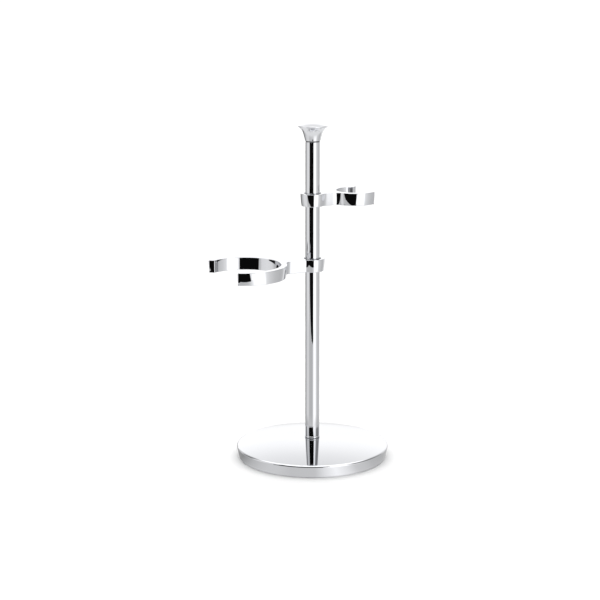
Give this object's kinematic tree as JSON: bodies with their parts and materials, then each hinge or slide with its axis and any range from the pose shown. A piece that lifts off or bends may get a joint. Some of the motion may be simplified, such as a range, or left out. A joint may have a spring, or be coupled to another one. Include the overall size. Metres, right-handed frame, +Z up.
{
  "type": "razor stand",
  "caption": "Free-standing chrome shaving stand: weighted round base, slim post with a flared finial, and open rings on collars that hold a brush and a razor.",
  "frame": {"origin": "on the table, on the axis of the post", "axes": "+Z up along the post, +X towards the razor ring, -X towards the brush ring, +Y to the back"},
  "size_m": [0.0912, 0.08, 0.1778],
  "materials": {
    "chrome": "mirror-polished chrome plate",
    "cast_iron": "raw casting with a turned face",
    "steel": "zinc-plated fasteners",
    "brass": "turned",
    "nylon": "moulded, satin",
    "rubber": "matte, faint grain"
  },
  "bodies": {
    "stand": {"base_pad": "rubber", "base_shell": "chrome", "base_weight": "cast_iron", "base_washer": "steel", "base_spring_washer": "steel", "base_nut": "steel", "tie_rod": "steel", "post_foot": "chrome", "post_tube": "chrome", "post_head_plug": "nylon", "finial_washer": "nylon", "finial": "chrome"},
    "brush_slider": {"brush_bush": "nylon"},
    "brush_arm": {"brush_holder": "chrome", "brush_set_screw": "steel", "brush_screw_pad": "brass"},
    "razor_slider": {"razor_bush": "nylon"},
    "razor_arm": {"razor_holder": "chrome", "razor_set_screw": "steel", "razor_screw_pad": "brass"}
  },
  "joints": [
    {"name": "brush_height", "type": "slide", "parent": "stand", "child": "brush_slider", "axis": [0, 0, 1], "range_m": [-0.08, 0.012]},
    {"name": "brush_swivel", "type": "hinge", "parent": "brush_slider", "child": "brush_arm", "pos_m": [0, 0, 0.1038], "axis": [0, 0, 1], "continuous": true},
    {"name": "razor_height", "type": "slide", "parent": "stand", "child": "razor_slider", "axis": [0, 0, 1], "range_m": [-0.01, 0.024]},
    {"name": "razor_swivel", "type": "hinge", "parent": "razor_slider", "child": "razor_arm", "pos_m": [0, 0, 0.138], "axis": [0, 0, 1], "continuous": true}
  ]
}
